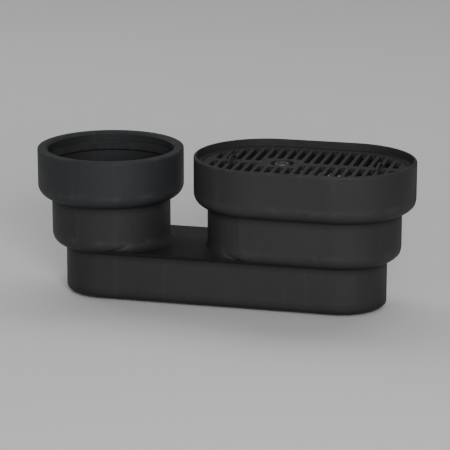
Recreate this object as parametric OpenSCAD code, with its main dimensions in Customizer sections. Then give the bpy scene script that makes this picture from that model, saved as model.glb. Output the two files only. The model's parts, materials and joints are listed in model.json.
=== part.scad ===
// Low submersible pump in a stepped casing: a riser socket on the left, a round-ended
// bowl with the pump unit on the right, and one flat base under both.
// X runs along the casing, Y is its depth, Z is up. The origin is the middle of the footprint.

/* [Casing] */
// Half depth of the top tier, which is also the radius of its round ends
top_r = 64; // [62:0.5:66]
// How far each lower tier steps in
tier_step = 12; // [11:0.5:12.5]
// Height of the base tier
base_h = 42; // [42:0.5:46]
// Height of the middle tier and of the top tier
tier_h = 43; // [43:0.5:46]
// Radius of the rolled lower edge of the two upper tiers
roll_r = 11; // [9:0.5:11]
// Radius of the base's lower edge
base_edge_r = 5; // [3:0.5:5.5]
// Wall thickness of every casing shell
wall = 4; // [3.5:0.25:4]
// Distance from the socket's axis to the middle of the bowl
axis_gap = 173.5; // [172:0.5:180]
// Half the straight length of the bowl's sides
bowl_half = 32.5; // [31:0.5:34]
// Thickness of the saddle plate between the two towers, on top of the base tier
saddle_h = 4; // [4:0.5:6]

/* [Socket] */
// Radius of the socket's bore, for a pipe of 110 mm outside diameter
socket_r = 55.2; // [55.1:0.05:55.5]
// Radius of the groove that holds the lip seal
seal_groove_r = 60; // [59:0.25:60.5]
// Height of the lip seal's groove
seal_h = 9; // [7:0.5:10]

/* [Pump] */
// Outside radius of the motor's can
can_r = 40; // [38:0.5:41]
// Radius of the impeller
impeller_r = 28; // [25:0.5:28.5]
// Number of impeller vanes
vane_count = 6; // [4:1:8]
// Radius of the suction eye in the volute's cover
eye_r = 22; // [19:0.5:22]
// Radius of the shaft where the bearings and the impeller sit
shaft_r = 4; // [4:0.25:4]
// Number of stator slots
slot_count = 12; // [8:2:16]
// Number of rotor bars
bar_count = 16; // [10:1:18]

/* [Strainer] */
// How far the strainer lies under the rim
strainer_drop = 6.5; // [5.5:0.5:8]
// Thickness of the strainer
strainer_t = 4.5; // [3.5:0.5:5]
// Width of a strainer slot
slot_w = 5; // [4:0.5:5.5]
// Distance from one slot to the next
slot_pitch = 8.6; // [8:0.2:10]

/* [Hidden] */

$fn = 96;
eps = 0.01;

foot_h = 2;                              // the rubber feet stand this far below the base
mid_r = top_r - tier_step;
base_r = mid_r - tier_step;
length = 2*top_r + axis_gap + bowl_half;
sx = -length/2 + top_r;                  // the socket's axis
px = sx + axis_gap;                      // the pump's axis, in the middle of the bowl
bowl_x0 = px - bowl_half;                // centres of the bowl's round ends
bowl_x1 = px + bowl_half;
base_z = foot_h;
mid_z = base_z + base_h;
top_z = mid_z + tier_h;
rim_z = top_z + tier_h;
rim_round = 1.8;
deck_edge_r = 1.5;                       // rounding of the saddle's long edges

floor_z = base_z + 5;                    // inside floor of the base pan
pan_in_r = base_r - wall;
mid_in_r = mid_r - wall;
top_in_r = top_r - wall;

screw_r = 1.45;                          // shank of a casing screw
screw_core_r = 1.55;                     // hole that it cuts into
screw_clear_r = 1.8;                     // hole that it passes through
pan_head_r = 3.4;
small_head_r = 3;
small_head_h = 2;
recess_gap = 0.4;                        // room round a sunk screw head

boss_r = 5.5;
boss_y = pan_in_r - 4.6;                 // the bosses along the straight walls run into them
boss_at = concat([for (y = [-22, 22]) [sx - 22, y]],
                 [for (x = [sx + 24, bowl_x0 - 18], y = [-boss_y, boss_y]) [x, y]],
                 [[bowl_x1 + boss_y, 0]]);
lug_off = 44;                            // from a tower's axis to its screw lugs
lug_r = 4.8;
lug_z = 68;
lug_hole = 13;
bowl_lug_at = concat([for (x = [bowl_x0 - 4, bowl_x1 + 4], y = [-lug_off, lug_off]) [x, y]],
                     [[bowl_x1 + lug_off, 0], [bowl_x0 - lug_off, 0]]);
collar_lug_at = [for (a = [45:90:315]) [sx + lug_off*cos(a), lug_off*sin(a)]];
foot_at = [for (x = [-118, 112], y = [-20, 20]) [x, y]];
foot_r = 8;

pan_seal_in = base_r - 2.9;
pan_seal_out = base_r - 1.1;
pan_seal_h = 1.5;
tier_seal_in = mid_in_r + 1.2;
tier_seal_out = mid_r - 1.2;
tier_seal_h = 1.2;
bowl_head_z = top_z + 4;                 // tops of the sunk screw heads
collar_head_z = top_z + 3.4;
seal_z = rim_z - 8 - seal_h;

// The pump unit, from the bottom up
volute_gap = 0.4;
boss_gap = 0.6;
volute_x0 = bowl_x0 - mid_r - 2;         // outlet face of the volute
volute_x1 = bowl_x1 + 24;
bulkhead_x0 = volute_x0 + 4;
bulkhead_x1 = bulkhead_x0 + 8;
volute_top = 32.5;
chamber_z = floor_z + 2.5;
chamber_r = 32;
cover_t = 4;
cover_z = volute_top + cover_t;
rod_off = 31;                            // the tie rods stand at plus and minus this from the pump's axis
rod_r = 2;
rod_z0 = 21;                             // lower end of the tie rods, in the volute
ear_r = 5.5;
rod_gap = 0.25;                          // room round a tie rod
rod_foot_r = 4.2;
rod_at = [for (x = [-1, 1], y = [-1, 1]) [px + x*rod_off, y*rod_off]];
volute_screw_at = [for (x = [volute_x0 + 10, px + 27], y = [-26, 26]) [x, y]];
bracket_z = 50;
bracket_t = 6;
can_z = bracket_z + bracket_t;
cap_z = 106;
cap_t = 6;
cap_top = cap_z + cap_t;
can_t = 1.5;
can_in_r = can_r - can_t;
groove_r = can_in_r - 2.1;               // bottom of the o-ring grooves under the can's ends
spigot_r = can_in_r - 0.1;
race_out_r = 11;
race_h = 7;
race_lip = 1.9;                          // radial thickness of the outer race
ball_r = 1.95;
ball_track_r = 7.6;
ball_count = 7;
low_race_z = can_z + 1.5;
high_race_z = cap_z - race_h;
stack_z0 = 70;
stack_z1 = 92;
coil_r = 10;                             // how far an end winding reaches out, and its height
coil_h = 6.6;
bar_at_r = 16.8;
bar_r = 1.8;
disc_z = 12.2;                           // underside of the impeller's disc
disc_t = 2.4;
hub_z = 36;                              // top of the impeller's hub
stator_in_r = 20.5;
rotor_r = 20.1;
gland_x = px - 20;
gland_r = 5.9;
cable_r = 4.1;                           // the cable that the gland takes

flap_x = volute_x0 - 2.1;                // hinge axis of the flap, over its middle so that it hangs shut
flap_z = cover_z + 3.2;
flap_pin_r = 1.5;
flap_half_w = 15.8;

strainer_z = rim_z - strainer_drop - strainer_t;
strainer_r = top_in_r + 1.2;
ledge_r = top_in_r + 1.5;

// ---- shapes that repeat ----

// A round-ended outline from one centre to the other.
module stadium(x0, x1, r) {
    translate([x0, 0]) circle(r);
    translate([x1, 0]) circle(r);
    translate([x0, -r]) square([x1 - x0, 2*r]);
}

module stadium_block(x0, x1, r, z0, z1) {
    translate([0, 0, z0]) linear_extrude(z1 - z0) stadium(x0, x1, r);
}

module stadium_ring(x0, x1, r_in, r_out, z0, z1) {
    translate([0, 0, z0]) linear_extrude(z1 - z0) difference() {
        stadium(x0, x1, r_out);
        stadium(x0, x1, r_in);
    }
}

// A half profile (radius, height) turned round both ends and drawn straight between them.
module stadium_turned(x0, x1) {
    translate([x1, 0, 0]) rotate([0, 0, -90]) rotate_extrude(angle = 180) children();
    translate([x0, 0, 0]) rotate([0, 0, 90]) rotate_extrude(angle = 180) children();
    for (side = [0, 1])
        translate([x0, 0, 0]) mirror([0, side, 0]) rotate([90, 0, 90])
            linear_extrude(x1 - x0) children();
}

// What a rounding takes off the lower outer corner of a profile.
module low_corner(r, edge) {
    translate([r - edge, 0]) difference() {
        translate([0, -eps]) square([edge + eps, edge + eps]);
        translate([0, edge]) circle(edge);
    }
}

module high_corner(r, h, edge) {
    translate([r - edge, h - edge]) difference() {
        square([edge + eps, edge + eps]);
        circle(edge);
    }
}

// The half profile of a tier: a block with a rolled lower edge and a rounded upper one.
module tier(r, h, low, high) {
    difference() {
        square([r, h]);
        low_corner(r, low);
        if (high > 0) high_corner(r, h, high);
    }
}

module tube(r_in, r_out, z0, z1) {
    translate([0, 0, z0]) linear_extrude(z1 - z0) difference() {
        circle(r_out);
        circle(r_in);
    }
}

module rod(r, z0, z1) {
    translate([0, 0, z0]) cylinder(r = r, h = z1 - z0);
}

module each_at(places) {
    for (p = places) translate([p[0], p[1], 0]) children();
}

// A pan-head screw that points up, with a cross recess, its head's top at z 0 facing down.
module screw_up(head_r, head_h, shank_r, length) {
    difference() {
        union() {
            rod(head_r, 0, head_h);
            rod(shank_r, head_h - eps, head_h + length);
        }
        for (a = [0, 90]) rotate([0, 0, a])
            translate([-head_r*0.6, -0.5, -eps]) cube([head_r*1.2, 1, head_h*0.5]);
    }
}

module screw_down(head_r, head_h, shank_r, length) {
    mirror([0, 0, 1]) screw_up(head_r, head_h, shank_r, length);
}

module hex(across, z0, z1) {
    translate([0, 0, z0]) cylinder(r = across/sqrt(3), h = z1 - z0, $fn = 6);
}

// ---- casing ----

module base_pan() color([0.05, 0.05, 0.055]) difference() {
    union() {
        difference() {
            translate([0, 0, base_z]) stadium_turned(sx, bowl_x1) tier(base_r, base_h, base_edge_r, 0);
            stadium_block(sx, bowl_x1, pan_in_r, floor_z, mid_z + 1);
        }
        each_at(boss_at) rod(boss_r, floor_z - 1, mid_z);
    }
    each_at(boss_at) {
        rod(screw_clear_r, base_z - 1, mid_z + 1);
        rod(pan_head_r + recess_gap, base_z - 1, base_z + 4);
    }
    each_at(volute_screw_at) {
        rod(screw_clear_r, base_z - 1, floor_z + 1);
        rod(small_head_r + recess_gap, base_z - 1, base_z + 2.6);
    }
    each_at(foot_at) rod(foot_r, base_z - 1, base_z + 1);
    stadium_ring(sx, bowl_x1, pan_seal_in, pan_seal_out, mid_z - pan_seal_h, mid_z + 1);
}

module pan_seal() color([0.09, 0.09, 0.09])
    stadium_ring(sx, bowl_x1, pan_seal_in, pan_seal_out, mid_z - pan_seal_h, mid_z);

// The middle tier's two towers on the low web that joins them.
module mid_outer() translate([0, 0, mid_z]) {
    translate([sx, 0, 0]) rotate_extrude() tier(mid_r, tier_h, roll_r, 0);
    stadium_turned(bowl_x0, bowl_x1) tier(mid_r, tier_h, roll_r, 0);
    for (side = [0, 1]) translate([sx, 0, 0]) mirror([0, side, 0]) rotate([90, 0, 90])
        linear_extrude(bowl_x0 - sx) tier(mid_r, saddle_h, roll_r, deck_edge_r);
}

module mid_hollow() {
    translate([0, 0, mid_z + wall]) {
        translate([sx, 0, 0]) rotate_extrude() tier(mid_in_r, tier_h, roll_r - wall, 0);
        stadium_turned(bowl_x0, bowl_x1) tier(mid_in_r, tier_h, roll_r - wall, 0);
    }
    translate([sx, 0, 0]) rod(pan_in_r, mid_z - 1, mid_z + wall + 1);
    stadium_block(bowl_x0, bowl_x1, pan_in_r, mid_z - 1, mid_z + wall + 1);
}

// The rib under the saddle that closes the discharge duct off from the bowl.
module bulkhead(x0, x1, half_w, z0, z1) translate([x0, -half_w, z0]) cube([x1 - x0, 2*half_w, z1 - z0]);

module mid_casing() color([0.055, 0.055, 0.06]) difference() {
    union() {
        difference() {
            mid_outer();
            mid_hollow();
        }
        bulkhead(bulkhead_x0, bulkhead_x1, pan_in_r - volute_gap, cover_z + 1, mid_z + 1);
        each_at(boss_at) rod(boss_r + 0.5, mid_z, mid_z + 12);
        each_at(concat(bowl_lug_at, collar_lug_at)) rod(lug_r, lug_z, top_z);
    }
    each_at(boss_at) rod(screw_core_r, mid_z - 1, mid_z + 10);
    each_at(concat(bowl_lug_at, collar_lug_at)) rod(screw_core_r, top_z - lug_hole, top_z + 1);
    stadium_ring(bowl_x0, bowl_x1, tier_seal_in, tier_seal_out, top_z - tier_seal_h, top_z + 1);
    translate([sx, 0, 0]) tube(tier_seal_in, tier_seal_out, top_z - tier_seal_h, top_z + 1);
}

module bulkhead_seal() color([0.09, 0.09, 0.09])
    bulkhead(bulkhead_x0 + 1, bulkhead_x1 - 1, pan_in_r - 1.5, cover_z, cover_z + 1);

module bowl_seal() color([0.09, 0.09, 0.09])
    stadium_ring(bowl_x0, bowl_x1, tier_seal_in, tier_seal_out, top_z - tier_seal_h, top_z);

module collar_seal() color([0.09, 0.09, 0.09])
    translate([sx, 0, 0]) tube(tier_seal_in, tier_seal_out, top_z - tier_seal_h, top_z);

module bowl_ring() color([0.05, 0.05, 0.055]) difference() {
    union() {
        difference() {
            translate([0, 0, top_z]) stadium_turned(bowl_x0, bowl_x1)
                tier(top_r, tier_h, roll_r, rim_round);
            translate([0, 0, top_z + wall]) stadium_turned(bowl_x0, bowl_x1)
                tier(top_in_r, tier_h, roll_r - wall, 0);
            stadium_block(bowl_x0, bowl_x1, mid_in_r, top_z - 1, top_z + wall + 1);
            stadium_block(bowl_x0, bowl_x1, ledge_r, strainer_z, rim_z + 1);
        }
        each_at(bowl_lug_at) rod(lug_r, top_z, top_z + wall);
    }
    each_at(bowl_lug_at) {
        rod(screw_clear_r, top_z - 1, top_z + wall + 1);
        rod(small_head_r + recess_gap, bowl_head_z - small_head_h, top_z + wall + 5);
    }
}

module socket_collar() color([0.05, 0.055, 0.06]) translate([sx, 0, 0]) difference() {
    union() {
        difference() {
            translate([0, 0, top_z]) rotate_extrude() tier(top_r, tier_h, roll_r, rim_round);
            rod(socket_r, top_z + wall, rim_z + 1);
            rod(mid_in_r, top_z - 1, top_z + wall + 1);
            rod(seal_groove_r, seal_z, seal_z + seal_h);
            translate([0, 0, rim_z - 2]) cylinder(r1 = socket_r, r2 = socket_r + 2, h = 2 + eps);
        }
        translate([-sx, 0, 0]) each_at(collar_lug_at) rod(lug_r, top_z, top_z + wall);
    }
    translate([-sx, 0, 0]) each_at(collar_lug_at) {
        rod(screw_clear_r, top_z - 1, top_z + wall + 1);
        rod(small_head_r + recess_gap, collar_head_z - small_head_h, top_z + wall + 1);
    }
}

module lip_seal() color([0.08, 0.08, 0.085]) translate([sx, 0, seal_z]) rotate_extrude()
    polygon([[seal_groove_r - 0.1, 0.2], [seal_groove_r - 0.1, seal_h - 0.2],
             [seal_groove_r - 3.6, seal_h - 0.2], [seal_groove_r - 4.2, seal_h - 1.6],
             [socket_r + 0.1, 2.6], [socket_r + 0.1, 1.2], [socket_r + 0.9, 1.2],
             [seal_groove_r - 2.8, 5], [seal_groove_r - 2.4, 0.2]]);

module feet() color([0.1, 0.1, 0.1]) each_at(foot_at) {
    rod(foot_r - 0.1, 0.8, base_z + 1);
    cylinder(r1 = foot_r - 0.9, r2 = foot_r - 0.1, h = 0.8);
}

module pan_screws() color("silver") each_at(boss_at)
    translate([0, 0, base_z + 1.2]) screw_up(pan_head_r, 2.8, screw_r, 46);

module bowl_screws() color("silver") each_at(bowl_lug_at)
    translate([0, 0, bowl_head_z]) screw_down(small_head_r, small_head_h, screw_r, lug_hole);

module collar_screws() color("silver") each_at(collar_lug_at)
    translate([0, 0, collar_head_z]) screw_down(small_head_r, small_head_h, screw_r, lug_hole - 1);

module strainer() color([0.06, 0.06, 0.065]) difference() {
    stadium_block(bowl_x0, bowl_x1, strainer_r, strainer_z, strainer_z + strainer_t);
    stadium_ring(bowl_x0, bowl_x1, strainer_r - 6, strainer_r - 4.6, strainer_z + strainer_t - 0.8, rim_z);
    for (i = [-9:9]) strainer_slots(i*slot_pitch);
    translate([gland_x, 0, 0]) rod(10.4, strainer_z - 1, rim_z);
}

// The two slots of one row, as long as the strainer is wide there; near the gland they stop short.
module strainer_slots(x) {
    over = max(0, abs(x) - bowl_half);
    reach = sqrt(pow(strainer_r - 9, 2) - over*over);
    inner = abs(px + x - gland_x) < 15 ? 15 : 4;
    if (reach - inner > 3*slot_w)
        for (side = [-1, 1]) translate([px + x, 0, strainer_z - 1]) linear_extrude(strainer_t + 2) {
            translate([0, side*(inner + slot_w/2)]) circle(slot_w/2);
            translate([0, side*(reach - slot_w/2)]) circle(slot_w/2);
            translate([-slot_w/2, side > 0 ? inner + slot_w/2 : slot_w/2 - reach])
                square([slot_w, reach - inner - slot_w]);
        }
}

// ---- pump unit ----

module volute_plan() intersection() {
    stadium(sx, bowl_x1, pan_in_r - volute_gap);
    translate([volute_x0, -pan_in_r]) square([volute_x1 - volute_x0, 2*pan_in_r]);
}

// Outline of the pumping chamber and of its outlet, widened by a wall.
module chamber_plan(t) {
    translate([px, 0]) circle(chamber_r + t);
    polygon([[px - 16, -27.7 - t], [volute_x0 - 1, -14 - t], [volute_x0 - 1, 14 + t], [px - 24, 2 + t]]);
}

module volute_body() color([0.16, 0.17, 0.18]) difference() {
    union() {
        translate([0, 0, volute_top - 5]) linear_extrude(5) volute_plan();
        translate([0, 0, floor_z]) linear_extrude(volute_top - floor_z - 1) intersection() {
            volute_plan();
            chamber_plan(wall);
        }
        each_at(volute_screw_at) rod(rod_foot_r, floor_z, volute_top - 1);
        each_at(rod_at) rod(rod_foot_r, floor_z + 8, volute_top - 1);
    }
    translate([0, 0, chamber_z]) linear_extrude(volute_top) chamber_plan(0);
    each_at(boss_at) rod(boss_r + boss_gap, floor_z - 1, volute_top + 1);
    each_at(rod_at) rod(rod_r + 0.05, rod_z0 - 1, volute_top + 1);
    each_at(volute_screw_at) rod(screw_r, floor_z - 1, floor_z + 16);
}

module volute_screws() color("silver") each_at(volute_screw_at)
    translate([0, 0, base_z + 0.6]) screw_up(small_head_r, small_head_h, screw_r - 0.05, 16);

module volute_cover() color([0.16, 0.17, 0.18]) difference() {
    union() {
        translate([0, 0, volute_top]) linear_extrude(cover_t) difference() {
            volute_plan();
            for (p = boss_at) translate(p) circle(boss_r + boss_gap);
        }
        translate([px, 0, 0]) rod(eye_r + 3, cover_z - 1, cover_z + 2);
        for (side = [-1, 1]) translate([flap_x - 2.8, side*18.2 - 1.8, volute_top])
            cube([volute_x0 - flap_x + 5.8, 3.6, flap_z + 2.8 - volute_top]);
    }
    translate([px, 0, 0]) rod(eye_r, volute_top - 1, cover_z + 3);
    each_at(rod_at) rod(rod_r + rod_gap, volute_top - 1, cover_z + 1);
    translate([flap_x, -30, flap_z]) rotate([-90, 0, 0]) cylinder(r = flap_pin_r, h = 60);
}

module flap() color([0.75, 0.35, 0.1]) difference() {
    union() {
        translate([flap_x, -flap_half_w, flap_z]) rotate([-90, 0, 0]) cylinder(r = 2.8, h = 2*flap_half_w);
        translate([volute_x0 - 3.6, -flap_half_w, floor_z + 1])
            cube([2.2, 2*flap_half_w, flap_z - floor_z - 1.6]);
    }
    translate([flap_x, -20, flap_z]) rotate([-90, 0, 0]) cylinder(r = flap_pin_r + 0.05, h = 40);
}

module flap_facing() color([0.1, 0.1, 0.1])
    translate([volute_x0 - 1.4, -15.6, floor_z + 1.2]) cube([1.2, 31.2, 24]);

module flap_pin() color("silver")
    translate([flap_x, -20, flap_z]) rotate([-90, 0, 0]) cylinder(r = flap_pin_r, h = 40);

module motor_bracket() color([0.55, 0.56, 0.58]) {
    difference() {
        union() {
            translate([px, 0, 0]) {
                rod(can_r + 0.5, bracket_z, can_z);
                rod(14, can_z - 1, low_race_z + race_h + 1.5);
                rod(13, bracket_z - 7, bracket_z + 1);
                tube(spigot_r - 4.5, spigot_r, can_z - 1, can_z + 3.6);
            }
            each_at(rod_at) rod(ear_r, bracket_z, can_z);
            each_at(rod_at) rod(ear_r - 1, cover_z, bracket_z + 1);
        }
        translate([px, 0, 0]) {
            rod(5, bracket_z - 8, can_z + 5);
            rod(9, bracket_z - 8, bracket_z - 2);
            rod(8, bracket_z + 1, can_z);
            rod(race_out_r, low_race_z, low_race_z + race_h + 2);
            tube(groove_r, can_in_r + 1, can_z + 0.9, can_z + 3.1);
        }
        each_at(rod_at) rod(rod_r + rod_gap, cover_z - 1, can_z + 1);
    }
}

module motor_can() color([0.72, 0.73, 0.75])
    translate([px, 0, 0]) tube(can_in_r, can_r, can_z, cap_z);

module can_rings() color([0.12, 0.12, 0.12]) for (z = [can_z + 2, cap_z - 2])
    translate([px, 0, z]) rotate_extrude() translate([can_in_r - 1.05, 0]) circle(1);

module motor_cap() color([0.5, 0.51, 0.53]) difference() {
    union() {
        translate([px, 0, cap_z]) rotate_extrude() tier(can_r + 0.5, cap_t, 0.4, 2.5);
        translate([px, 0, 0]) rod(14, high_race_z - 0.5, cap_z + 1);
        translate([px, 0, 0]) tube(spigot_r - 4.5, spigot_r, cap_z - 3.6, cap_z + 1);
        each_at(rod_at) rod(ear_r, cap_z, cap_z + cap_t);
    }
    translate([px, 0, 0]) {
        rod(race_out_r, high_race_z - 1, high_race_z + race_h);
        rod(6, cap_z - 1, cap_z + 3);
        tube(groove_r, can_in_r + 1, cap_z - 3.1, cap_z - 0.9);
    }
    each_at(rod_at) rod(rod_r + rod_gap, cap_z - 1, cap_top + 1);
    translate([gland_x, 0, 0]) rod(gland_r + 0.1, cap_z - 1, cap_top + 1);
}

module tie_rods() color("silver") each_at(rod_at) rod(rod_r, rod_z0, cap_top + 5.5);

module rod_washers() color("silver") each_at(rod_at)
    tube(rod_r + 0.15, 4.5, cap_top, cap_top + 0.9);

module rod_nuts() color("silver") each_at(rod_at) difference() {
    hex(7, cap_top + 0.9, cap_top + 4.4);
    rod(rod_r + 0.05, cap_z, cap_top + 10);
}

module gland_body() color([0.1, 0.1, 0.11]) translate([gland_x, 0, 0]) difference() {
    union() {
        rod(gland_r, cap_z - 1.5, cap_top + 1);
        hex(16, cap_top, cap_top + 3);
        rod(gland_r + 0.3, cap_top + 2, cap_top + 7);
    }
    rod(cable_r + 0.1, cap_z - 3, cap_top + 8);
}

module gland_seal() color([0.15, 0.15, 0.15])
    translate([gland_x, 0, 0]) rod(cable_r, cap_top - 1, cap_top + 9);

module gland_nut() color([0.1, 0.1, 0.11]) translate([gland_x, 0, cap_top + 3.2]) difference() {
    union() {
        hex(15, 0, 5);
        translate([0, 0, 5 - eps]) cylinder(r1 = 7.4, r2 = 6, h = 3.3);
    }
    rod(gland_r + 0.4, -1, 4.2);
    rod(cable_r + 0.1, 4, 10);
}

// ---- motor ----

module stator_core() color([0.42, 0.44, 0.47]) translate([px, 0, stack_z0])
    linear_extrude(stack_z1 - stack_z0) difference() {
        circle(can_in_r - 0.1);
        circle(stator_in_r);
        for (i = [0:slot_count - 1]) rotate(i*360/slot_count) stator_slot(0);
    }

module stator_slot(gap) {
    translate([stator_in_r + 3.2 + gap, -2.8 + gap]) square([8 - 2*gap, 5.6 - 2*gap]);
    if (gap == 0) translate([stator_in_r - 1, -0.9]) square([5, 1.8]);
}

module windings() color([0.72, 0.38, 0.18]) translate([px, 0, 0]) {
    for (z = [stack_z0 - 7, stack_z1 + 0.4]) translate([0, 0, z]) rotate_extrude()
        translate([stator_in_r + 2.5, 0]) rounded_block(coil_r, coil_h, 2);
    for (i = [0:slot_count - 1]) rotate([0, 0, i*360/slot_count])
        translate([0, 0, stack_z0 - 2]) linear_extrude(stack_z1 - stack_z0 + 4) stator_slot(0.25);
}

// A rectangle with all four corners rounded.
module rounded_block(w, h, r) {
    translate([r, 0]) square([w - 2*r, h]);
    translate([0, r]) square([w, h - 2*r]);
    for (x = [r, w - r], y = [r, h - r]) translate([x, y]) circle(r);
}

module thermal_switch() color([0.85, 0.83, 0.78])
    translate([px - 4, 24, stack_z1 + 7.1]) cube([14, 7, 3.6]);

module terminal_block() color([0.9, 0.88, 0.8]) difference() {
    translate([px + 5, -26.8, stack_z1 + 7.1]) cube([15, 6.8, 4.6]);
    for (i = [0:2]) translate([px + 8 + i*4.5, -23.4, 0]) rod(1.4, stack_z1 + 9, stack_z1 + 14);
}

module shaft() color([0.8, 0.81, 0.83]) translate([px, 0, 0]) difference() {
    union() {
        rod(shaft_r, 18, cap_z + 2.4);
        rod(shaft_r + 1, low_race_z + race_h, high_race_z - 0.6);
    }
    rod(2, 17, 32);
}

module rotor_core() color([0.4, 0.41, 0.44]) translate([px, 0, stack_z0])
    linear_extrude(stack_z1 - stack_z0) difference() {
        circle(rotor_r);
        circle(shaft_r + 1.02);
        for (i = [0:bar_count - 1]) rotate(i*360/bar_count) translate([bar_at_r, 0]) circle(bar_r);
    }

module rotor_cage() color([0.78, 0.79, 0.8]) translate([px, 0, 0]) {
    for (z = [stack_z0 - 3, stack_z1]) tube(13.5, 19.4, z, z + 3);
    for (i = [0:bar_count - 1]) rotate([0, 0, i*360/bar_count])
        translate([bar_at_r, 0, 0]) rod(bar_r - 0.02, stack_z0 - 1, stack_z1 + 1);
}

module outer_race(z) translate([px, 0, z]) rotate_extrude() difference() {
    translate([race_out_r - race_lip, 0]) square([race_lip - 0.02, race_h]);
    translate([ball_track_r, race_h/2]) circle(ball_r + 0.06);
}

module inner_race(z) translate([px, 0, z]) rotate_extrude() difference() {
    translate([shaft_r + 0.02, 0]) square([6.1 - shaft_r - 0.02, race_h]);
    translate([ball_track_r, race_h/2]) circle(ball_r + 0.06);
}

// The balls with the ring cage that spaces them.
module balls(z) translate([px, 0, z + race_h/2]) {
    for (i = [0:ball_count - 1]) rotate([0, 0, i*360/ball_count])
        translate([ball_track_r, 0, 0]) sphere(ball_r);
    tube(ball_track_r - 0.7, ball_track_r + 0.7, -0.8, 0.8);
}

module lower_outer_race() color("silver") outer_race(low_race_z);
module lower_inner_race() color("silver") inner_race(low_race_z);
module lower_balls() color("gainsboro") balls(low_race_z);
module upper_outer_race() color("silver") outer_race(high_race_z - 0.6);
module upper_inner_race() color("silver") inner_race(high_race_z - 0.6);
module upper_balls() color("gainsboro") balls(high_race_z - 0.6);

module wave_washer() color([0.6, 0.6, 0.62])
    translate([px, 0, high_race_z + race_h]) tube(8.6, race_out_r - 0.3, -0.55, -0.05);

module shaft_lip_seal() color([0.3, 0.12, 0.08]) translate([px, 0, bracket_z + 1.1]) rotate_extrude()
    polygon([[7.95, 0], [7.95, 4.7], [6.4, 4.7], [6.4, 1.4],
             [shaft_r + 0.08, 2.4], [shaft_r + 0.08, 1.2], [5.6, 0]]);

module seal_seat() color([0.9, 0.89, 0.84])
    translate([px, 0, 0]) tube(4.6, 8.95, bracket_z - 7, bracket_z - 2.05);

module seal_face() color([0.15, 0.15, 0.16])
    translate([px, 0, 0]) tube(shaft_r + 0.05, 8, bracket_z - 10.2, bracket_z - 7.05);

module seal_spring() color([0.7, 0.7, 0.72]) translate([px, 0, 0])
    for (i = [0:2]) translate([0, 0, hub_z + 0.7 + 1.1*i]) rotate_extrude() translate([6.3, 0]) circle(0.5);

module impeller_vane() {
    inner_r = 8;
    turn = 70;
    steps = 10;
    thick = 2.2;
    outer_r = impeller_r - 0.6;
    function mid(t, off) = let (r = inner_r + (outer_r - inner_r)*t, a = turn*t + off/r*57.3)
        [r*cos(a), r*sin(a)];
    polygon(concat([for (i = [0:steps]) mid(i/steps, thick/2)],
                   [for (i = [steps:-1:0]) mid(i/steps, -thick/2)]));
}

module impeller() color([0.2, 0.35, 0.6]) translate([px, 0, 0]) difference() {
    union() {
        rod(impeller_r, disc_z, disc_z + disc_t);
        rod(9, disc_z, hub_z);
        translate([0, 0, disc_z + 1.8]) linear_extrude(volute_top - disc_z - 2.6) for (i = [0:vane_count - 1])
            rotate(i*360/vane_count) impeller_vane();
    }
    rod(shaft_r + 0.02, 17.9, 40);
    rod(2.3, 11, 19);
    rod(5, 11, 16);
}

module impeller_bolt() color("silver") translate([px, 0, 0]) difference() {
    union() {
        rod(4.4, 12.6, 16);
        rod(1.95, 15, 30);
    }
    hex(3, 11, 14.6);
}

base_pan();
mid_casing();
bowl_ring();
socket_collar();
pan_seal();
bowl_seal();
collar_seal();
bulkhead_seal();
lip_seal();
feet();
pan_screws();
bowl_screws();
collar_screws();
strainer();
volute_body();
volute_screws();
volute_cover();
flap();
flap_facing();
flap_pin();
motor_bracket();
motor_can();
can_rings();
motor_cap();
tie_rods();
rod_washers();
rod_nuts();
gland_body();
gland_seal();
gland_nut();
stator_core();
windings();
thermal_switch();
terminal_block();
shaft();
rotor_core();
rotor_cage();
lower_outer_race();
lower_inner_race();
lower_balls();
upper_outer_race();
upper_inner_race();
upper_balls();
wave_washer();
shaft_lip_seal();
seal_seat();
seal_face();
seal_spring();
impeller();
impeller_bolt();
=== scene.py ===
"""Looks for the low stepped-casing pump: materials, small moulded details, floor, lights and camera."""
import json
import math

import bmesh
import bpy
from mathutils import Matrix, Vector


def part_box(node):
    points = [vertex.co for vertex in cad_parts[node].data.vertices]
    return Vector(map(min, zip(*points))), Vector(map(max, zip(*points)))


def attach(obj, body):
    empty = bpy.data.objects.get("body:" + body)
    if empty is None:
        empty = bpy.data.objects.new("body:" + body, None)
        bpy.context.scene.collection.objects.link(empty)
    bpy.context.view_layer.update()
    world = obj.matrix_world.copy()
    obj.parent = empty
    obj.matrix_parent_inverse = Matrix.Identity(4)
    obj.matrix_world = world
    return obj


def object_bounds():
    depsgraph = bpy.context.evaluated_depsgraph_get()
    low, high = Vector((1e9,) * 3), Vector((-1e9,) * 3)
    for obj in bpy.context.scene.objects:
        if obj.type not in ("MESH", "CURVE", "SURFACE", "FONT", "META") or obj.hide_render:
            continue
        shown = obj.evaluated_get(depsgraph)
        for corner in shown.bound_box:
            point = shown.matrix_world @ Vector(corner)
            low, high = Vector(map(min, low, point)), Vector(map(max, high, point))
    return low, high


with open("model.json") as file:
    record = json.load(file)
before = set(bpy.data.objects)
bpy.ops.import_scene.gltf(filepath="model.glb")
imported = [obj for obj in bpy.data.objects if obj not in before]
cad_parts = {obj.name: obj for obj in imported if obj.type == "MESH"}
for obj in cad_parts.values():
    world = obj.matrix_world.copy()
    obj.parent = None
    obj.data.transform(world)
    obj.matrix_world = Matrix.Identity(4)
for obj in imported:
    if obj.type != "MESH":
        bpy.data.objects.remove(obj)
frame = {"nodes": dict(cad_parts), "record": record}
cad_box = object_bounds()
nodes = frame["nodes"]

CAMERA_AZIMUTH = 14.0     # degrees: the bowl's end is turned towards the camera
CAMERA_ELEVATION = 15.3   # degrees above level
CAMERA_LENS = 180.0       # millimetres, long, as the view has almost no perspective
CAMERA_DISTANCE = 1.96    # metres from the middle of the object

MM = 0.001


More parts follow.
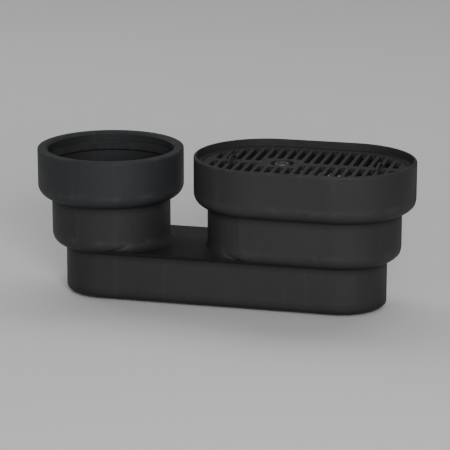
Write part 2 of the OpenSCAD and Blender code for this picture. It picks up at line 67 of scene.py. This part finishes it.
# ---- places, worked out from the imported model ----

def axis_x(node):
    """The X of a node's middle, in metres."""
    low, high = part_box(node)
    return (low.x + high.x) / 2


BASE_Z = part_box("base_pan")[0].z
MID_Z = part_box("pan_seal")[1].z
TOP_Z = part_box("bowl_ring")[0].z
RIM_Z = cad_box[1].z
TOP_R = cad_box[1].y
ROLL_R = 11 * MM          # the rolled lower edge of the two upper tiers
TIER_STEP = 12 * MM       # how far each lower tier steps in
MID_R = TOP_R - TIER_STEP
BASE_R = MID_R - TIER_STEP
BASE_EDGE_R = 5 * MM
RIM_ROUND = 1.8 * MM
SLOT_PITCH = 8.6 * MM     # from one strainer slot to the next
SADDLE_Z = MID_Z + 4 * MM
SOCKET_X = axis_x("socket_collar")
BOWL_X0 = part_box("bowl_ring")[0].x + TOP_R
BOWL_X1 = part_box("bowl_ring")[1].x - TOP_R
PUMP_X = axis_x("motor_can")


# ---- node graph helpers ----

class Graph:
    """A small wrapper that makes shader nodes and links them."""

    def __init__(self, name):
        self.material = bpy.data.materials.new(name)
        self.material.use_nodes = True
        self.tree = self.material.node_tree
        self.shader = self.tree.nodes["Principled BSDF"]
        self.place = self.add("ShaderNodeTexCoord").outputs["Object"]

    def add(self, kind, **settings):
        made = self.tree.nodes.new(kind)
        for key, value in settings.items():
            setattr(made, key, value)
        return made

    def link(self, source, target):
        self.tree.links.new(source, target)

    def noise(self, scale, detail=4.0, roughness=0.55, stretch=None):
        made = self.add("ShaderNodeTexNoise")
        made.inputs["Scale"].default_value = scale
        made.inputs["Detail"].default_value = detail
        made.inputs["Roughness"].default_value = roughness
        self.link(self.stretched(stretch), made.inputs["Vector"])
        return made.outputs["Fac"]

    def stretched(self, stretch):
        if stretch is None:
            return self.place
        mapping = self.add("ShaderNodeMapping")
        mapping.inputs["Scale"].default_value = stretch
        self.link(self.place, mapping.inputs["Vector"])
        return mapping.outputs["Vector"]

    def ramp(self, source, stops):
        made = self.add("ShaderNodeValToRGB")
        elements = made.color_ramp.elements
        while len(elements) < len(stops):
            elements.new(0.5)
        for element, (position, colour) in zip(elements, stops):
            element.position = position
            element.color = (*colour, 1.0)
        self.link(source, made.inputs["Fac"])
        return made.outputs["Color"]

    def scaled(self, source, low, high, new_low, new_high):
        made = self.add("ShaderNodeMapRange")
        limits = {"From Min": low, "From Max": high, "To Min": new_low, "To Max": new_high}
        for key, value in limits.items():
            made.inputs[key].default_value = value
        self.link(source, made.inputs["Value"])
        return made.outputs["Result"]

    def mix(self, factor, first, second, blend="MIX"):
        made = self.add("ShaderNodeMix", data_type="RGBA", blend_type=blend)
        for key, value in (("Factor", factor), ("A", first), ("B", second)):
            socket = made.inputs[key]
            if isinstance(value, bpy.types.NodeSocket):
                self.link(value, socket)
            elif isinstance(value, (int, float)):
                socket.default_value = value
            else:
                socket.default_value = (*value, 1.0)
        return made.outputs["Result"]

    def math(self, operation, first, second):
        made = self.add("ShaderNodeMath", operation=operation)
        for socket, value in zip(made.inputs, (first, second)):
            if isinstance(value, bpy.types.NodeSocket):
                self.link(value, socket)
            else:
                socket.default_value = value
        return made.outputs["Value"]

    def bump(self, height, strength, distance, under=None):
        made = self.add("ShaderNodeBump")
        made.inputs["Strength"].default_value = strength
        made.inputs["Distance"].default_value = distance
        self.link(height, made.inputs["Height"])
        if under is not None:
            self.link(under, made.inputs["Normal"])
        return made.outputs["Normal"]

    def height(self):
        """The Z coordinate, in metres."""
        split = self.add("ShaderNodeSeparateXYZ")
        self.link(self.place, split.inputs["Vector"])
        return split.outputs["Z"]

    def near(self, height, level, spread, most):
        """The value most at a level, fading to 0 at a distance of spread above and below it."""
        away = self.math("ABSOLUTE", self.math("SUBTRACT", height, level), 0.0)
        return self.scaled(away, 0.0, spread, most, 0.0)

    def finish(self, colour=None, roughness=None, normal=None, **fixed):
        for name, value in (("Base Color", colour), ("Roughness", roughness), ("Normal", normal)):
            if isinstance(value, bpy.types.NodeSocket):
                self.link(value, self.shader.inputs[name])
            elif value is not None:
                self.shader.inputs[name].default_value = value
        for name, value in fixed.items():
            self.shader.inputs[name.replace("_", " ").title().replace("Ior", "IOR")].default_value = value
        return self.material


# ---- materials ----

# Heights where painted highlights lighten the casing's rim and rolled edges, and where painted shade
# darkens its foot and steps, each with its spread.
EDGE_HIGHLIGHT_BANDS = [(RIM_Z, 3.5 * MM), (TOP_Z + ROLL_R, 4 * MM), (MID_Z + ROLL_R, 4 * MM)]
STEP_SHADE_BANDS = [(BASE_Z, 10 * MM), (MID_Z, 7 * MM), (TOP_Z, 7 * MM)]
# Colour of the painted shade at the foot and in the steps.
STEP_SHADE_COLOUR = (0.006, 0.006, 0.0065)

def moulded_plastic(name, dark, light, pale_tone, roughness=(0.42, 0.58), grain=2600.0, grain_depth=0.00006):
    """Injection-moulded plastic: slow colour drift, fine grain, a few soft scratches and rubbed spots."""
    g = Graph(name)
    colour = g.ramp(g.noise(9.0, detail=5.0), [(0.32, dark), (0.68, light)])
    lightened = g.scaled(g.noise(48.0, detail=7.0, roughness=0.62), 0.60, 0.74, 0.0, 0.35)
    colour = g.mix(lightened, colour, pale_tone)
    scratches = g.noise(60.0, detail=3.0, stretch=(1.0, 1.0, 26.0))
    rough = g.scaled(g.noise(35.0, detail=6.0), 0.3, 0.7, *roughness)
    rough = g.math("ADD", rough, g.scaled(scratches, 0.62, 0.75, 0.0, 0.12))
    normal = g.bump(g.noise(grain, detail=2.0), 0.35, grain_depth)
    normal = g.bump(g.noise(18.0, detail=2.0), 0.25, 0.0012, under=normal)
    return g.finish(colour, rough, normal, specular_ior_level=0.42)


def casing_plastic(name, dark, light, pale_tone):
    """Thick black polyethylene: waxy, rippled, with mottled painted highlights on its edges and painted
    shade in its steps.
    """
    g = Graph(name)
    colour = g.ramp(g.noise(5.5, detail=3.0), [(0.3, dark), (0.7, light)])
    runs = g.noise(120.0, detail=5.0, stretch=(1.0, 1.0, 0.05))
    colour = g.mix(g.scaled(runs, 0.56, 0.76, 0.0, 0.16), colour, pale_tone)
    speckle = g.noise(900.0, detail=3.0)
    colour = g.mix(g.scaled(speckle, 0.66, 0.78, 0.0, 0.28), colour, pale_tone)
    height = g.height()
    patches = g.scaled(g.noise(85.0, detail=8.0, roughness=0.68), 0.44, 0.66, 0.0, 1.0)
    rough = g.scaled(g.noise(26.0, detail=6.0), 0.3, 0.7, 0.50, 0.64)
    # Painted highlight: mottled lighter bands at the rim and where each roll meets its wall, which also
    # roughen the surface a little.
    for level, spread in EDGE_HIGHLIGHT_BANDS:
        lightened = g.math("MULTIPLY", g.near(height, level, spread, 0.32), patches)
        colour = g.mix(lightened, colour, pale_tone)
        rough = g.math("ADD", rough, g.math("MULTIPLY", lightened, 0.12))
    # Painted shade: darker bands at the foot and in the steps where the tiers meet.
    for level, spread in STEP_SHADE_BANDS:
        colour = g.mix(g.near(height, level, spread, 0.85), colour, STEP_SHADE_COLOUR)
    normal = g.bump(g.noise(1700.0, detail=3.0), 0.8, 0.0002)
    normal = g.bump(g.noise(300.0, detail=2.0), 0.4, 0.0007, under=normal)
    normal = g.bump(g.noise(13.0, detail=1.5), 0.30, 0.0016, under=normal)
    return g.finish(colour, rough, normal, specular_ior_level=0.2)


def rubber(name, dark, light):
    g = Graph(name)
    colour = g.ramp(g.noise(60.0, detail=6.0), [(0.35, dark), (0.7, light)])
    rough = g.scaled(g.noise(300.0), 0.3, 0.7, 0.62, 0.85)
    normal = g.bump(g.noise(1500.0, detail=3.0), 0.4, 0.00008)
    return g.finish(colour, rough, normal, specular_ior_level=0.3)


def machined_metal(name, dark, light, roughness=(0.2, 0.36), lines=900.0, metallic=1.0):
    """Turned or drawn metal with fine lines round its axis and slight tarnish."""
    g = Graph(name)
    tarnish = g.noise(45.0, detail=6.0)
    streaks = g.noise(lines, detail=2.0, stretch=(0.06, 0.06, 1.0))
    colour = g.ramp(tarnish, [(0.3, dark), (0.7, light)])
    colour = g.mix(g.scaled(streaks, 0.35, 0.65, 0.0, 0.35), colour, dark)
    rough = g.scaled(streaks, 0.3, 0.7, *roughness)
    normal = g.bump(streaks, 0.18, 0.00004)
    return g.finish(colour, rough, normal, metallic=metallic)


def cast_metal(name, dark, light):
    g = Graph(name)
    colour = g.ramp(g.noise(80.0, detail=8.0, roughness=0.7), [(0.3, dark), (0.7, light)])
    rough = g.scaled(g.noise(400.0, detail=4.0), 0.3, 0.7, 0.38, 0.6)
    normal = g.bump(g.noise(900.0, detail=5.0), 0.5, 0.00015)
    return g.finish(colour, rough, normal, metallic=1.0)


def wound_copper(name):
    """Enamelled wire: fine strands side by side round the winding."""
    g = Graph(name)
    strands = g.add("ShaderNodeTexWave", wave_type="RINGS", rings_direction="Z")
    strands.inputs["Scale"].default_value = 420.0
    strands.inputs["Distortion"].default_value = 1.2
    strands.inputs["Detail"].default_value = 2.0
    g.link(g.place, strands.inputs["Vector"])
    colour = g.ramp(strands.outputs["Fac"], [(0.1, (0.16, 0.05, 0.02)), (0.6, (0.55, 0.2, 0.08))])
    rough = g.scaled(g.noise(120.0), 0.3, 0.7, 0.22, 0.4)
    normal = g.bump(strands.outputs["Fac"], 0.6, 0.0004)
    return g.finish(colour, rough, normal, metallic=0.85, coat_weight=0.5)


def laminated_steel(name):
    """A stack of thin sheets, which show as level lines."""
    g = Graph(name)
    sheets = g.add("ShaderNodeTexWave", wave_type="BANDS", bands_direction="Z")
    sheets.inputs["Scale"].default_value = 320.0
    g.link(g.place, sheets.inputs["Vector"])
    colour = g.ramp(sheets.outputs["Fac"], [(0.1, (0.09, 0.095, 0.1)), (0.7, (0.27, 0.28, 0.3))])
    rough = g.scaled(g.noise(150.0), 0.3, 0.7, 0.35, 0.55)
    normal = g.bump(sheets.outputs["Fac"], 0.5, 0.0001)
    return g.finish(colour, rough, normal, metallic=1.0)


MATERIALS = {
    "casing_plastic": casing_plastic(
        "casing", (0.0195, 0.0195, 0.0200), (0.0265, 0.0265, 0.0270), (0.062, 0.062, 0.062)),
    "collar_plastic": casing_plastic(
        "collar", (0.0188, 0.0196, 0.0215), (0.0248, 0.0262, 0.0288), (0.060, 0.061, 0.064)),
    "seal_rubber": rubber("seal_rubber", (0.012, 0.012, 0.012), (0.026, 0.026, 0.026)),
    "foot_rubber": rubber("foot_rubber", (0.03, 0.03, 0.03), (0.06, 0.06, 0.058)),
    "fastener_steel": machined_metal("fastener_steel", (0.42, 0.43, 0.44), (0.66, 0.67, 0.69)),
    "pump_plastic": moulded_plastic(
        "pump_plastic", (0.06, 0.065, 0.07), (0.10, 0.105, 0.11), (0.2, 0.2, 0.21)),
    "flap_plastic": moulded_plastic(
        "flap_plastic", (0.55, 0.17, 0.03), (0.68, 0.24, 0.05), (0.8, 0.45, 0.22)),
    "can_steel": machined_metal("can_steel", (0.48, 0.49, 0.5), (0.68, 0.69, 0.7), roughness=(0.24, 0.42)),
    "cast_aluminium": cast_metal("cast_aluminium", (0.36, 0.37, 0.38), (0.56, 0.57, 0.58)),
    "gland_plastic": moulded_plastic(
        "gland_plastic", (0.035, 0.035, 0.04), (0.055, 0.055, 0.06), (0.12, 0.12, 0.12)),
    "lamination_steel": laminated_steel("lamination_steel"),
    "copper_wire": wound_copper("copper_wire"),
    "terminal_plastic": moulded_plastic(
        "terminal_plastic", (0.66, 0.63, 0.52), (0.78, 0.75, 0.66), (0.86, 0.85, 0.8)),
    "shaft_steel": machined_metal(
        "shaft_steel", (0.55, 0.56, 0.57), (0.74, 0.75, 0.77), roughness=(0.12, 0.26)),
    "cage_aluminium": cast_metal("cage_aluminium", (0.5, 0.51, 0.52), (0.68, 0.69, 0.7)),
    "bearing_steel": machined_metal(
        "bearing_steel", (0.56, 0.56, 0.58), (0.76, 0.76, 0.78), roughness=(0.06, 0.14)),
    "seal_lip_rubber": rubber("seal_lip_rubber", (0.12, 0.03, 0.02), (0.22, 0.06, 0.04)),
    "ceramic": moulded_plastic(
        "ceramic", (0.74, 0.72, 0.66), (0.84, 0.83, 0.78), (0.9, 0.9, 0.88), roughness=(0.12, 0.2)),
    "carbon": moulded_plastic(
        "carbon", (0.02, 0.02, 0.022), (0.04, 0.04, 0.043), (0.09, 0.09, 0.09), roughness=(0.25, 0.4)),
    "impeller_plastic": moulded_plastic(
        "impeller_plastic", (0.03, 0.07, 0.17), (0.05, 0.1, 0.24), (0.12, 0.2, 0.36)),
}


# ---- small moulded details, which no CAD node holds ----

def add_piece(name, bm, body, slot):
    """Turns a bmesh into an object that rides on a body and takes a slot's finish."""
    bmesh.ops.recalc_face_normals(bm, faces=bm.faces)
    mesh = bpy.data.meshes.new(name)
    bm.to_mesh(mesh)
    bm.free()
    mesh.shade_smooth()
    mesh.set_sharp_from_angle(angle=math.radians(40))
    piece = bpy.data.objects.new(name, mesh)
    bpy.context.scene.collection.objects.link(piece)
    piece.data.materials.append(MATERIALS[slot])
    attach(piece, body)


def loft(bm, sections, closed):
    """Joins equal closed outlines in turn; an open run gets a face on each end."""
    rings = [[bm.verts.new(point) for point in section] for section in sections]
    count = len(rings[0])
    for a, b in zip(rings, rings[1:] + (rings[:1] if closed else [])):
        for i in range(count):
            bm.faces.new((a[i], a[(i + 1) % count], b[(i + 1) % count], b[i]))
    if not closed:
        bm.faces.new(rings[0])
        bm.faces.new(rings[-1])


def stadium_path(x0, x1, radius, steps=48):
    """Points of a round-ended outline, each with its outward direction."""
    turns = [(x1, -math.pi / 2 + math.pi * i / steps) for i in range(steps + 1)]
    turns += [(x0, math.pi / 2 + math.pi * i / steps) for i in range(steps + 1)]
    if x0 == x1:
        turns = [(x0, 2 * math.pi * i / (2 * steps)) for i in range(2 * steps)]
    return [(x + radius * math.cos(a), radius * math.sin(a), math.cos(a), math.sin(a)) for x, a in turns]


def seal_lip(name, x0, x1, radius, z, thick):
    """The soft edge of a rubber seal, squeezed out of the joint between two tiers."""
    bm = bmesh.new()
    angles = [2 * math.pi * i / 10 for i in range(10)]
    loft(bm, [[(x + nx * thick * math.cos(a), y + ny * thick * math.cos(a), z + 0.7 * thick * math.sin(a))
               for a in angles] for x, y, nx, ny in stadium_path(x0, x1, radius)], closed=True)
    add_piece(name, bm, "casing", "seal_rubber")


def wall_radius(z):
    """Outer radius of a middle-tier tower at a height, with its rolled lower edge."""
    below = max(0.0, MID_Z + ROLL_R - z)
    return MID_R - ROLL_R + math.sqrt(max(0.0, ROLL_R ** 2 - below ** 2))


def saddle_cove(name, centre_x, facing):
    """The fillet between a tower's wall and the saddle, fading out where the wall leaves the saddle."""
    full_r, steps, arc_steps = 7 * MM, 56, 10
    saddle_half = wall_radius(SADDLE_Z)
    limit = math.asin((saddle_half - 0.3 * MM) / MID_R)
    sections = []
    for i in range(steps + 1):
        turn = limit * (2 * i / steps - 1)
        room = (saddle_half - 0.2 * MM) / max(abs(math.sin(turn)), 0.01) - MID_R
        r = max(0.3 * MM, min(full_r, room))
        inner = wall_radius(SADDLE_Z + r)
        outline = [(inner + r * (1 - math.cos(a)), SADDLE_Z + r * (1 - math.sin(a)))
                   for a in [math.pi / 2 * j / arc_steps for j in range(arc_steps + 1)]]
        outline += [(outline[-1][0], SADDLE_Z - 0.4 * MM),
                    (saddle_half - 1.2 * MM, SADDLE_Z - 0.4 * MM),
                    (wall_radius(SADDLE_Z + r / 2) - 0.6 * MM, SADDLE_Z + r / 2),
                    (inner - 0.4 * MM, SADDLE_Z + r)]
        sections.append([(centre_x + facing * d * math.cos(turn), d * math.sin(turn), z)
                         for d, z in outline])
    bm = bmesh.new()
    loft(bm, sections, closed=False)
    add_piece(name, bm, "casing", "casing_plastic")


def arc(centre_r, centre_z, radius, start, end, steps=8):
    """Points (radius from the axis, height) along an arc, in degrees."""
    angles = [math.radians(start + (end - start) * i / steps) for i in range(steps + 1)]
    return [(centre_r + radius * math.cos(a), centre_z + radius * math.sin(a)) for a in angles]


def mould_seam(name, centre_x, facing, outline, slot):
    """The thin raised line that the mould's two halves leave down an end of the casing."""
    half, proud, sunk = 0.55 * MM, 0.28 * MM, 0.5 * MM
    across = [(-half, -sunk), (-half, 0.0), (-0.45 * half, proud),
              (0.45 * half, proud), (half, 0.0), (half, -sunk)]
    sections = []
    for i, (r, z) in enumerate(outline):
        r0, z0 = outline[max(i - 1, 0)]
        r1, z1 = outline[min(i + 1, len(outline) - 1)]
        along = math.hypot(r1 - r0, z1 - z0)
        nr, nz = (z1 - z0) / along, -(r1 - r0) / along
        sections.append([(centre_x + facing * (r + nr * h), y, z + nz * h) for y, h in across])
    bm = bmesh.new()
    loft(bm, sections, closed=False)
    add_piece(name, bm, "casing", slot)


def make_seams():
    base = arc(BASE_R - BASE_EDGE_R, BASE_Z + BASE_EDGE_R, BASE_EDGE_R, -80, 0) + [(BASE_R, MID_Z - 1 * MM)]
    mid = arc(MID_R - ROLL_R, MID_Z + ROLL_R, ROLL_R, -80, 0) + [(MID_R, TOP_Z - 1 * MM)]
    top = arc(TOP_R - ROLL_R, TOP_Z + ROLL_R, ROLL_R, -80, 0)
    top += arc(TOP_R - RIM_ROUND, RIM_Z - RIM_ROUND, RIM_ROUND, 0, 75)
    sides = (("left", SOCKET_X, -1, "collar_plastic"), ("right", BOWL_X1, 1, "casing_plastic"))
    for side, x, facing, slot in sides:
        mould_seam("base_seam_" + side, x, facing, base, "casing_plastic")
        mould_seam("mid_seam_" + side, x, facing, mid, "casing_plastic")
        mould_seam("top_seam_" + side, x, facing, top, slot)


def make_seal_lips():
    inset = 0.2 * MM
    seal_lip("pan_seal_lip", SOCKET_X, BOWL_X1, BASE_R + inset, MID_Z, 0.9 * MM)
    seal_lip("bowl_seal_lip", BOWL_X0, BOWL_X1, MID_R + inset, TOP_Z, 0.8 * MM)
    seal_lip("collar_seal_lip", SOCKET_X, SOCKET_X, MID_R + inset, TOP_Z, 0.8 * MM)


def rounded_bar(bm, start, end, width, low, high, edge):
    """A level bar with rounded ends and a rounded crest, from one point to another."""
    start, end = Vector(start), Vector(end)
    along = (end - start).normalized()
    side = Vector((-along.y, along.x))
    turns = [math.pi * i / 8 for i in range(9)]
    plan = [end + side * (-width / 2 * math.cos(a)) + along * (width / 2 * math.sin(a)) for a in turns]
    plan += [start + side * (width / 2 * math.cos(a)) - along * (width / 2 * math.sin(a)) for a in turns]
    middle = (start + end) / 2
    heights = [(low, 0.0), (high - edge, 0.0), (high - 0.3 * edge, 0.3 * edge), (high, edge)]
    sections = []
    for z, inset in heights:
        keep = 1 - 2 * inset / width
        sections.append([(*(middle + along * ((q - middle) @ along) * (1 - inset / (end - start).length)
                            + side * ((q - middle) @ side) * keep), z) for q in plan])
    loft(bm, sections, closed=False)


def make_cap_ribs():
    """Cooling ribs across the motor's cap, clear of the tie rods and of the gland."""
    ribs = 24
    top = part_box("motor_cap")[1].z
    centre = Vector((PUMP_X, 0.0))
    bm = bmesh.new()
    for i in range(ribs):
        a = 2 * math.pi * i / ribs
        near_rod = abs((math.degrees(a) % 90) - 45) < 1
        near_gland = abs(math.degrees(a) - 180) < 40
        inner = 31 * MM if near_gland else 12 * MM
        outer = 30 * MM if near_rod else 35.5 * MM
        direction = Vector((math.cos(a), math.sin(a)))
        if outer > inner + 2 * MM:
            rounded_bar(bm, centre + direction * inner, centre + direction * outer, 1.8 * MM,
                        top - 1 * MM, top + 1.8 * MM, 0.6 * MM)
    add_piece("cap_ribs", bm, "casing", "cast_aluminium")


def tube_along(bm, points, radius, sides=12):
    """A round bar along a run of points that lie in one upright plane."""
    sections = []
    for i, point in enumerate(points):
        tangent = (points[min(i + 1, len(points) - 1)] - points[max(i - 1, 0)]).normalized()
        across = tangent.cross(Vector((0, 0, 1)))
        if across.length < 0.01:
            across = (points[-1] - points[0]).cross(Vector((0, 0, 1)))
        across.normalize()
        up = across.cross(tangent)
        sections.append([point + radius * (across * math.cos(a) + up * math.sin(a))
                         for a in [2 * math.pi * k / sides for k in range(sides)]])
    loft(bm, sections, closed=False)


def make_lift_loops():
    """Two finger loops on the strainer, by which it is lifted out."""
    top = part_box("strainer")[1].z
    half, height = 11 * MM, 4.6 * MM
    reach = 7.5 * SLOT_PITCH  # the middle of a bar, between two slots
    for name, x in (("left", PUMP_X - reach), ("right", PUMP_X + reach)):
        points = [Vector((x, -half * math.cos(a), top - 1 * MM + height * math.sin(a) ** 0.6))
                  for a in [math.pi * i / 32 for i in range(33)]]
        bm = bmesh.new()
        tube_along(bm, points, 1.3 * MM)
        add_piece("lift_loop_" + name, bm, "strainer_plate", "casing_plastic")


def make_can_seam():
    """The upright weld of the motor's rolled can."""
    low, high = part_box("motor_can")
    radius = (high.x - low.x) / 2
    bm = bmesh.new()
    sections = []
    steps, end_gap = 60, 1 * MM
    for i in range(steps + 1):
        z = low.z + end_gap + (high.z - low.z - 2 * end_gap) * i / steps
        half = (1.3 + 0.15 * math.sin(i * 2.1)) * MM
        crest = 1.7 * (0.35 + 0.08 * math.sin(i * 2.9))
        across = ((-1, -0.4), (-1, 0), (-0.5, crest), (0.5, crest), (1, 0), (1, -0.4))
        sections.append([(PUMP_X + half * x, -radius - proud * MM, z) for x, proud in across])
    loft(bm, sections, closed=False)
    add_piece("can_seam", bm, "casing", "can_steel")


def make_base_ribs():
    """Shallow stiffening ribs under the base, clear of the feet and of the screw holes."""
    long_y, cross_half, reach = 12 * MM, 20 * MM, 92 * MM
    low, high = BASE_Z + 0.6 * MM, BASE_Z - 1.2 * MM
    bm = bmesh.new()
    for y in (-long_y, long_y):
        rounded_bar(bm, (-reach - 10 * MM, y), (reach + 10 * MM, y), 2.4 * MM, low, high, -0.5 * MM)
    for i in range(-2, 3):
        x = i * reach / 2.3
        rounded_bar(bm, (x, -cross_half), (x, cross_half), 2.4 * MM, low, high, -0.5 * MM)
    add_piece("base_ribs", bm, "casing", "casing_plastic")


def paint_cad():
    """Gives every CAD node the material of its slot in the record."""
    slots = {part["node"]: part["material_slot"] for part in frame["record"]["subparts"]}
    for name, obj in nodes.items():
        obj.data.materials.clear()
        obj.data.materials.append(MATERIALS[slots[name]])


def make_floor():
    """A flat round floor that curves up into a wall on every side."""
    flat_r, curve_r, wall_top, around = 3.2, 1.2, 3.4, 96
    profile = [(0.02, 0.0), (1.0, 0.0), (flat_r, 0.0)]
    profile += [(flat_r + curve_r * math.sin(a), curve_r - curve_r * math.cos(a))
                for a in [i * math.pi / 24 for i in range(1, 13)]]
    profile.append((flat_r + curve_r, wall_top))
    turns = [2 * math.pi * i / around for i in range(around)]
    bm = bmesh.new()
    loft(bm, [[(r * math.cos(a), r * math.sin(a), z) for a in turns] for r, z in profile], closed=False)
    bm.faces.ensure_lookup_table()
    bm.faces.remove(bm.faces[-1])
    bmesh.ops.recalc_face_normals(bm, faces=bm.faces)
    mesh = bpy.data.meshes.new("floor")
    bm.to_mesh(mesh)
    bm.free()
    mesh.shade_smooth()
    floor = bpy.data.objects.new("floor", mesh)
    bpy.context.scene.collection.objects.link(floor)
    g = Graph("floor_paint")
    tone = g.ramp(g.noise(1.2), [(0.3, (0.66, 0.67, 0.66)), (0.7, (0.69, 0.70, 0.69))])
    floor.data.materials.append(g.finish(tone, 0.8))


def area_light(name, place, size, power, target=(0.0, 0.0, 0.05), tint=(1.0, 1.0, 1.0)):
    data = bpy.data.lights.new(name, "AREA")
    data.shape = "RECTANGLE"
    data.size, data.size_y = size
    data.energy = power
    data.color = tint
    light = bpy.data.objects.new(name, data)
    light.location = place
    light.rotation_euler = (Vector(target) - Vector(place)).to_track_quat("-Z", "Y").to_euler()
    bpy.context.scene.collection.objects.link(light)


def light_scene():
    world = bpy.data.worlds.new("studio")
    world.use_nodes = True
    sky = world.node_tree.nodes["Background"]
    sky.inputs["Color"].default_value = (0.86, 0.90, 0.88, 1.0)
    sky.inputs["Strength"].default_value = 0.22
    bpy.context.scene.world = world
    area_light("key", (0.75, -1.8, 0.85), (0.7, 0.7), 32.0)
    area_light("fill", (-0.7, -2.0, 0.6), (1.0, 1.0), 8.0)
    area_light("back", (-1.9, 0.9, 1.3), (1.2, 1.2), 7.0)
    area_light("floor_wash", (0.0, 0.9, 1.9), (2.4, 1.2), 17.0, target=(0.0, 1.0, 0.0))


def place_camera():
    low, high = cad_box
    middle = (low + high) / 2
    azimuth, elevation = math.radians(CAMERA_AZIMUTH), math.radians(CAMERA_ELEVATION)
    back = Vector((math.sin(azimuth) * math.cos(elevation),
                   -math.cos(azimuth) * math.cos(elevation), math.sin(elevation)))
    data = bpy.data.cameras.new("camera")
    data.lens = CAMERA_LENS
    camera = bpy.data.objects.new("camera", data)
    camera.location = middle + back * CAMERA_DISTANCE
    camera.rotation_euler = (-back).to_track_quat("-Z", "Y").to_euler()
    bpy.context.scene.collection.objects.link(camera)
    bpy.context.scene.camera = camera


place_camera()
light_scene()
make_floor()
paint_cad()
make_seams()
make_seal_lips()
saddle_cove("cove_left", SOCKET_X, 1)
saddle_cove("cove_right", BOWL_X0, -1)
make_lift_loops()
make_cap_ribs()
make_can_seam()
make_base_ribs()
